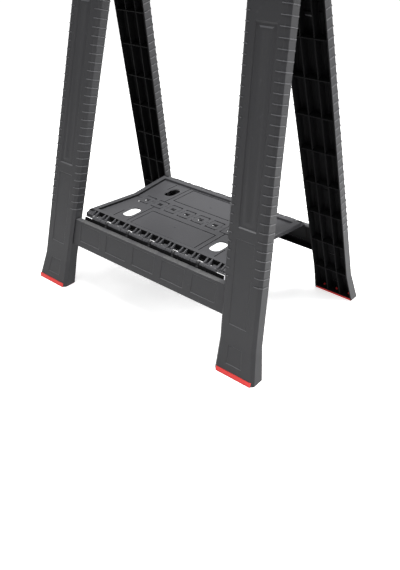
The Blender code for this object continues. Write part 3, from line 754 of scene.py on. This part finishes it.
def leaf_top():
    """Floor, rims and skirt of the front leaf, with its notches, grip holes and lines."""
    sizes = bpy.context.scene.sawhorse_tray
    top, floor, base = TRAY_TOP, TRAY_TOP - sizes.well, TRAY_TOP - sizes.height
    tab_half = sizes.tab_width / 2 + TAB_ROOM
    hole = (sizes.oval_width / 2 + HOLE_ROOM, sizes.oval_length / 2 + HOLE_ROOM)
    right = [sizes.tab_step * (i + 0.5) + sign * tab_half for i in range(4) for sign in (-1, 1)]
    right += [line + sign * GROOVE for line in (PANEL_HALF, OUTER_LINE, SHORT_LINE) for sign in (-1, 1)]
    right += [sizes.oval_x - hole[0], sizes.oval_x + hole[0], SIDE_LINE]
    right = sorted(right) + [1.0, 2.0, 3.0]
    columns = [-x for x in reversed(right)] + right
    tab_end = sizes.tab_reach + TAB_END_ROOM
    rows = sorted([GAP, tab_end, sizes.oval_y - hole[1], sizes.oval_y + hole[1], SHORT_START,
                   FLOOR_EDGE, RIM_EDGE, COMB_START, COMB_DROP, COMB_FLOOR]
                  + [line + sign * GROOVE for line in (PANEL_NEAR, PANEL_FAR) for sign in (-1, 1)])

    def place(column, row):
        rim = {1.0: half_length(row) - sizes.rim - 0.001, 2.0: half_length(row) - sizes.rim,
               3.0: half_length(row)}
        x = math.copysign(rim.get(abs(column), abs(column)), column)
        on_rim = abs(column) >= 2.0 or RIM_EDGE <= row <= COMB_START
        in_comb = row > COMB_START and abs(column) < 2.0
        return x, -row, base + 0.0012 if in_comb else top if on_rim else floor

    bm = grid(columns, rows, place)
    face_towards(bm, Vector((0, 0, 1)))

    def patch(x, distance):
        return cells(bm, between(columns, *x), between(rows, *distance))

    lines = []
    for side in (-1, 1):
        spans = [(PANEL_HALF, (PANEL_NEAR, PANEL_FAR)), (OUTER_LINE, (tab_end, FLOOR_EDGE)),
                 (SHORT_LINE, (SHORT_START, PANEL_FAR + GROOVE))]
        for x, span in spans:
            edges = sorted((side * (x - GROOVE), side * (x + GROOVE)))
            lines.append(patch(edges, span))
    for line in (PANEL_NEAR, PANEL_FAR):
        lines.append(patch((-PANEL_HALF - GROOVE, PANEL_HALF + GROOVE), (line - GROOVE, line + GROOVE)))
    grooves = list({face for faces in lines for face in faces})
    openings = []
    for i in range(-4, 4):
        x = sizes.tab_step * (i + 0.5)
        openings += patch((x - tab_half, x + tab_half), (GAP, tab_end))
    holes = [patch((side * sizes.oval_x - hole[0], side * sizes.oval_x + hole[0]),
                   (sizes.oval_y - hole[1], sizes.oval_y + hole[1])) for side in (-1, 1)]
    in_holes = {face for faces in holes for face in faces}
    # Painted shade: the floor lines take the near-black finish
    for face in grooves:
        face.material_index = PAINTED_SHADE
    sink(bm, [face for face in grooves if face not in in_holes], 0.0002, 0.0011)
    bmesh.ops.delete(bm, geom=openings, context="FACES")
    for side, faces in zip((-1, 1), holes):
        grip_hole(bm, [face for face in faces if face.is_valid], side)
    last = len(columns) - 1
    # Painted shade: the low strip along the comb and the rims' inner walls take the near-black finish
    dark = cells(bm, (0, last), between(rows, COMB_START, COMB_FLOOR))
    for first in (1, last - 2):
        dark += cells(bm, (first, first + 1), between(rows, GAP, FLOOR_EDGE))
    for face in dark:
        face.material_index = PAINTED_SHADE
    skirt(bm, base)
    thicken(bm, FLOOR_WALL)
    return bm


def grip_hole(bm, faces, side):
    """Opens an oval hole with a turned-down lip in a patch of the floor."""
    sizes = bpy.context.scene.sawhorse_tray
    whole = bmesh.ops.dissolve_faces(bm, faces=faces, use_verts=False)["region"][0]
    bmesh.ops.subdivide_edges(bm, edges=whole.edges[:], cuts=3)
    middle = Vector((side * sizes.oval_x, -sizes.oval_y))
    whole = min((f for f in bm.faces if len(f.verts) > 12),
                key=lambda f: (f.calc_center_median().xy - middle).length)
    bmesh.ops.inset_individual(bm, faces=[whole], thickness=0.001)
    radius, straight = sizes.oval_width / 2, (sizes.oval_length - sizes.oval_width) / 2
    for vert in whole.verts:
        away = vert.co.xy - middle
        away.y = math.copysign(max(0.0, abs(away.y) - straight), away.y)
        away = away.normalized() * radius
        if abs(vert.co.y - middle.y) > straight:
            away.y += math.copysign(straight, vert.co.y - middle.y)
        else:
            away.y = vert.co.y - middle.y
        vert.co.xy = middle + away
    ring = whole.edges[:]
    bmesh.ops.delete(bm, geom=[whole], context="FACES_ONLY")
    lip = bmesh.ops.extrude_edge_only(bm, edges=ring)["geom"]
    low = [item for item in lip if isinstance(item, bmesh.types.BMVert)]
    bmesh.ops.translate(bm, verts=low, vec=(0, 0, -HOLE_LIP))


def skirt(bm, base):
    """Turns the leaf's outer edges down to its base."""
    def outer(edge):
        return edge.is_boundary and all(
            abs(abs(v.co.x) - half_length(-v.co.y)) < 0.0002 or abs(v.co.y + COMB_FLOOR) < 0.0002
            or (abs(v.co.y) < 0.001 and v.co.z > TRAY_TOP - 0.001) for v in edge.verts)
    made = bmesh.ops.extrude_edge_only(bm, edges=[edge for edge in bm.edges if outer(edge)])["geom"]
    for item in made:
        if isinstance(item, bmesh.types.BMVert):
            item.co.z = base


def leaf_tabs():
    """Tabs that reach over the other leaf, with a hole over the hinge and its knuckle below."""
    sizes = bpy.context.scene.sawhorse_tray
    bm = bmesh.new()
    floor, half, reach = TRAY_TOP - sizes.well, sizes.tab_width / 2, sizes.tab_reach
    for centre in tab_centres():
        columns = (-half, -WINDOW_X, WINDOW_X, half)
        rows = (-reach, -WINDOW_Y, WINDOW_Y, reach)
        plate = grid(columns, rows, lambda x, y: (centre + x, y, floor))
        corners = [v for v in plate.verts
                   if abs(v.co.x - centre) > half - 0.0001 and abs(v.co.y) > reach - 0.0001]
        bmesh.ops.bevel(plate, geom=corners, offset=0.0045, affect="VERTICES", segments=3, profile=0.5,
                        material=-1)
        window = [f for f in plate.faces
                  if (f.calc_center_median().xy - Vector((centre, 0))).length < 0.001]
        bmesh.ops.delete(plate, geom=window, context="FACES")
        thicken(plate, TAB_WALL)
        absorb(bm, plate)
        tab_knuckle(bm, centre, floor)
    return bm


def tab_knuckle(bm, centre, floor):
    """Barrel under a tab, the two stems that hold it and the lip that shows in the tab's hole."""
    reach = KNUCKLE_HALF
    round_bar(bm, (0, MIDDLE_Z), BARREL, centre - reach, centre + reach)
    for near in (-0.0054, 0.0042):
        bar(bm, (centre - reach, centre + reach), (near, near + 0.0012), (MIDDLE_Z, floor - 0.002))
    round_bar(bm, (-0.0036, floor - 0.0028), 0.0015, centre - 0.0052, centre + 0.0040, 16)


def leaf_comb():
    """Sloping ribs along the rail, the barrels around its rod and their knuckle blocks."""
    sizes = bpy.context.scene.sawhorse_tray
    bm = bmesh.new()
    step, top = sizes.comb_step, TRAY_TOP
    limit = half_length(COMB_START) - sizes.rim

    def rib(x, half):
        block(bm, lambda a, b, c: (x + (2 * a - 1) * half, -(COMB_START - 0.0008, COMB_END)[b],
                                   (COMB_LOW, (top - 0.0002, COMB_TIP)[b])[c]))

    for i in range(-6, 6):
        for sign in (-1, 1):
            x = step * (i + 0.5) + sign * COMB_RIB
            if abs(x) < limit:
                rib(x, COMB_RIB_HALF)
    for sign in (-1, 1):
        rib(sign * (half_length(0.1400) - CORNER_RIB_IN), CORNER_RIB_HALF)
    for i in range(-3, 3):
        x = step * (2 * i + 1)
        low, high = max(x - COMB_BARREL, -BARREL_END), min(x + COMB_BARREL, BARREL_END)
        round_bar(bm, (-HINGE_Y, HINGE_Z), BARREL, low, high)
        if abs(x) < limit - 0.01:
            bar(bm, (x - 0.0020, x + 0.0092), (-0.1462, -0.1372), (0.1850, 0.1893))
    for i in range(-2, 3):
        for sign in (-1, 1):
            ends = sorted(step * 2 * i + sign * reach for reach in SLEEVE_ENDS)
            round_bar(bm, (-HINGE_Y, HINGE_Z), SLEEVE, *ends)
    for i in range(-5, 6):
        x = step * (i + 0.5)
        if abs(x) < limit:
            bar(bm, (x - BRIDGE_HALF, x + BRIDGE_HALF), (-0.1440, -0.1345), (0.1842, 0.1862))
    return bm


def leaf_underside():
    """Rib lattice below the floor."""
    sizes = bpy.context.scene.sawhorse_tray
    bm = bmesh.new()
    floor, base = TRAY_TOP - sizes.well - 0.0024, TRAY_TOP - sizes.height + 0.0006
    for distance in UNDER_RIBS:
        half = half_length(distance) - 0.0022
        bar(bm, (-half, half), (-distance - UNDER_HALF, -distance + UNDER_HALF), (base, floor))
    for i in range(-4, 4):
        x = sizes.tab_step * (i + 0.5)
        bar(bm, (x - 0.0168, x + 0.0168), (-0.0202, -0.0100), (base, base + 0.0016))
    for i in range(-4, 5):
        x = sizes.tab_step * i
        lane = (x - UNDER_HALF, x + UNDER_HALF)
        if abs(abs(x) - sizes.oval_x) > sizes.oval_width / 2 + 0.002:
            bar(bm, lane, (-UNDER_FAR, -UNDER_NEAR), (base, floor))
        else:
            bar(bm, lane, (-HOLE_NEAR, -UNDER_NEAR), (base, floor))
            bar(bm, lane, (-UNDER_FAR, -HOLE_FAR), (base, floor))
    return bm


def floor_marks():
    """Small round mark in the middle of the leaf's floor."""
    bm = bmesh.new()
    floor = TRAY_TOP - bpy.context.scene.sawhorse_tray.well
    made = bmesh.ops.create_cone(bm, cap_ends=True, segments=24, radius1=0.0034, radius2=0.0028,
                                 depth=0.0016)["verts"]
    bmesh.ops.translate(bm, verts=made, vec=(0, -0.0659, floor))
    return bm


# ---------------------------------------------------------------- top beams

GRIP_STEP, GRIP_COUNT = 0.0105, 26          # spacing, and bars on each side of the middle
GRIP_HALF, GRIP_CLEAR = 0.0014, 0.020       # half a bar's width, bare stretch at the middle
GRIP_PROUD, GRIP_ROOT = 0.0008, 0.0006


def beam_grip():
    """Raised grip bars on a beam's work surface."""
    bm = bmesh.new()
    top = BEAM_HIGH.z
    near, far = BEAM_HIGH.y - 0.0060, -(back(top) + 0.0300)
    for i in range(-GRIP_COUNT, GRIP_COUNT + 1):
        x = GRIP_STEP * i
        if abs(x) > GRIP_CLEAR:
            bar(bm, (x - GRIP_HALF, x + GRIP_HALF), (far, near), (top - GRIP_ROOT, top + GRIP_PROUD))
    return bm


# ---------------------------------------------------------------- operators

def hand_of(side, across):
    """Left or right as seen from in front; the rear copies are turned half round."""
    return "right" if (across > 0) == (side == "front") else "left"


class SAWHORSE_OT_finishes(bpy.types.Operator):
    """Make the materials of every piece"""
    bl_idname = "sawhorse.finishes"
    bl_label = "Materials"

    def execute(self, context):
        colours = context.scene.sawhorse_finishes
        # The frame's 0.80 lightens its upward faces: dust and painted top light
        FINISH["frame"] = moulded_finish("frame_black", colours.frame, 0.50, 0.80, 0.28)
        FINISH["tray"] = moulded_finish("tray_black", colours.tray, 0.44, 0.16, 0.40)
        # Painted shade: near-black for ribs, inner walls, grooves and the underside
        FINISH["inside"] = moulded_finish("painted_shade_black", colours.inside, 0.74, 0.05, 0.12)
        # Painted highlight: a lighter copy of the frame colour, for fin tops and up-facing ledges that
        # catch the light
        FINISH["worn"] = moulded_finish("painted_highlight_black", shade(colours.frame, 2.8), 0.40, 0.40)
        FINISH["feet"] = rubber_finish("feet_red", colours.feet)
        FINISH["steel"] = steel_finish("drawn_steel", colours.steel)
        return {"FINISHED"}


class SAWHORSE_OT_legs(bpy.types.Operator):
    """Make the four legs: shell, fins and inner ribs"""
    bl_idname = "sawhorse.legs"
    bl_label = "Legs"

    def execute(self, context):
        for across in (1, -1):
            for side, bm in for_both_frames(lambda: leg_shell(across)):
                name, body = f"{side}_{hand_of(side, across)}_leg", f"{side}_frame"
                make_piece(bm, f"{name}_shell", body, "frame inside worn", [name], 0.0007)
            # Fins take the painted highlight finish all over; ribs take the near-black painted shade
            for part, shape, finish in (("fins", leg_fins, "worn"), ("ribs", leg_ribs, "inside")):
                for side, bm in for_both_frames(lambda: shape(across)):
                    name, body = f"{side}_{hand_of(side, across)}_leg", f"{side}_frame"
                    make_piece(bm, f"{name}_{part}", body, finish, (), 0.00025)
        return {"FINISHED"}


class SAWHORSE_OT_feet(bpy.types.Operator):
    """Make the four rubber feet"""
    bl_idname = "sawhorse.feet"
    bl_label = "Feet"

    def execute(self, context):
        for across in (1, -1):
            for side, bm in for_both_frames(lambda: foot_pad(across)):
                node = f"{side}_{hand_of(side, across)}_foot_pad"
                make_piece(bm, f"{node}_rubber", f"{side}_frame", "feet", [node], 0.0005)
        return {"FINISHED"}


class SAWHORSE_OT_rails(bpy.types.Operator):
    """Make the two rails with their hinge lugs"""
    bl_idname = "sawhorse.rails"
    bl_label = "Rails"

    def execute(self, context):
        for side, bm in for_both_frames(rail_shell):
            make_piece(bm, f"{side}_rail_shell", f"{side}_frame", "frame inside worn",
                       [f"{side}_rail"], 0.0006)
        # Painted shade: the rail's ribs and lip take the near-black finish
        for side, bm in for_both_frames(rail_ribs):
            make_piece(bm, f"{side}_rail_ribs", f"{side}_frame", "inside")
        return {"FINISHED"}


class SAWHORSE_OT_tray(bpy.types.Operator):
    """Make the tray's two leaves"""
    bl_idname = "sawhorse.tray"
    bl_label = "Tray"

    def execute(self, context):
        for side, bm in for_both_frames(leaf_top):
            make_piece(bm, f"{side}_leaf_top", f"{side}_leaf", "tray inside",
                       [f"{side}_tray_leaf"], 0.0004)
        # Painted shade: the underside ribs take the near-black finish
        parts = (("tabs", leaf_tabs, "tray"), ("comb", leaf_comb, "tray"),
                 ("underside", leaf_underside, "inside"), ("mark", floor_marks, "tray"))
        for part, shape, finish in parts:
            for side, bm in for_both_frames(shape):
                make_piece(bm, f"{side}_leaf_{part}", f"{side}_leaf", finish, (), 0.0004)
        return {"FINISHED"}


class SAWHORSE_OT_beams(bpy.types.Operator):
    """Make the two top beams and their cord hooks"""
    bl_idname = "sawhorse.beams"
    bl_label = "Beams"

    def execute(self, context):
        for side in ("front", "rear"):
            node = f"{side}_top_beam"
            make_piece(welded_copy(node), f"{node}_shell", f"{side}_frame", "frame",
                       [node], 0.0006)
            for hand in ("left", "right"):
                hook = f"{side}_{hand}_cord_hook"
                make_piece(welded_copy(hook), f"{hook}_smooth", f"{side}_frame", "frame",
                           [hook], 0.0010)
        for side, bm in for_both_frames(beam_grip):
            make_piece(bm, f"{side}_beam_grip", f"{side}_frame", "frame", (), 0.0003)
        return {"FINISHED"}


class SAWHORSE_OT_steel(bpy.types.Operator):
    """Finish the hinge rods and pins"""
    bl_idname = "sawhorse.steel"
    bl_label = "Rods and pins"

    def execute(self, context):
        for node in ("front_tray_hinge_rod", "rear_tray_hinge_rod", "tray_middle_rod",
                     "top_hinge_pin_left", "top_hinge_pin_right"):
            thing = frame["nodes"][node]
            thing.data.materials.clear()
            thing.data.materials.append(FINISH["steel"])
        return {"FINISHED"}


class SAWHORSE_OT_stage(bpy.types.Operator):
    """Make the floor, the soft lights and the camera"""
    bl_idname = "sawhorse.stage"
    bl_label = "Stage"

    def execute(self, context):
        settings = context.scene.sawhorse_stage
        bm = bmesh.new()
        bmesh.ops.create_grid(bm, x_segments=1, y_segments=1, size=6)
        mesh = bpy.data.meshes.new("floor")
        bm.to_mesh(mesh)
        bm.free()
        floor = bpy.data.objects.new("floor", mesh)
        mesh.materials.append(floor_finish())
        context.scene.collection.objects.link(floor)
        self.light(context, "key", settings.key, 1.2, (1.6, 1.5, 1.7))
        self.light(context, "top", settings.top, 1.8, (0.1, 0.1, 2.6))
        self.light(context, "fill", settings.fill, 1.6, (0.3, -2.3, 0.6))
        world = bpy.data.worlds.new("studio")
        world.use_nodes = True
        world.node_tree.nodes["Background"].inputs["Color"].default_value = (1, 1, 1, 1)
        world.node_tree.nodes["Background"].inputs["Strength"].default_value = settings.sky
        context.scene.world = world
        context.scene.view_settings.view_transform = "Standard"
        self.camera(context, settings)
        return {"FINISHED"}

    def light(self, context, name, power, size, place):
        lamp = bpy.data.lights.new(name, "AREA")
        lamp.shape, lamp.size, lamp.energy = "DISK", size, power
        thing = bpy.data.objects.new(name, lamp)
        thing.location = place
        aim = Vector((0, 0, 0.2)) - thing.location
        thing.rotation_euler = aim.to_track_quat("-Z", "Y").to_euler()
        context.scene.collection.objects.link(thing)

    def camera(self, context, settings):
        eye = bpy.data.cameras.new("camera")
        eye.lens, eye.sensor_width = settings.lens, 36.0
        thing = bpy.data.objects.new("camera", eye)
        turn = (Matrix.Rotation(settings.heading, 4, "Z")
                @ Matrix.Rotation(math.pi / 2 - settings.tilt, 4, "X")
                @ Matrix.Rotation(-settings.roll, 4, "Z"))
        thing.matrix_world = Matrix.Translation(settings.eye) @ turn
        context.scene.collection.objects.link(thing)
        context.scene.camera = thing


class SAWHORSE_PT_pieces(bpy.types.Panel):
    """Lists the pieces of the sawhorse"""
    bl_idname = "SAWHORSE_PT_pieces"
    bl_label = "Folding sawhorse"
    bl_space_type = "VIEW_3D"
    bl_region_type = "UI"
    bl_category = "Sawhorse"

    def draw(self, context):
        for operator in OPERATORS:
            self.layout.operator(operator.bl_idname)
        for group in GROUPS:
            settings = getattr(context.scene, group)
            for name in settings.__annotations__:
                self.layout.prop(settings, name)


OPERATORS = (SAWHORSE_OT_finishes, SAWHORSE_OT_legs, SAWHORSE_OT_feet, SAWHORSE_OT_rails,
             SAWHORSE_OT_tray, SAWHORSE_OT_beams, SAWHORSE_OT_steel, SAWHORSE_OT_stage)
GROUPS = {"sawhorse_legs": LegSizes, "sawhorse_rails": RailSizes, "sawhorse_tray": TraySizes,
          "sawhorse_finishes": Finishes, "sawhorse_stage": StageSettings}
CLASSES = (*GROUPS.values(), *OPERATORS, SAWHORSE_PT_pieces)


def register():
    for made in CLASSES:
        bpy.utils.register_class(made)
    for name, group in GROUPS.items():
        setattr(bpy.types.Scene, name, bpy.props.PointerProperty(type=group))


def unregister():
    for name in GROUPS:
        delattr(bpy.types.Scene, name)
    for made in reversed(CLASSES):
        bpy.utils.unregister_class(made)


def main():
    register()
    for operator in OPERATORS:
        group, name = operator.bl_idname.split(".")
        getattr(getattr(bpy.ops, group), name)()


if __name__ == "__main__":
    main()
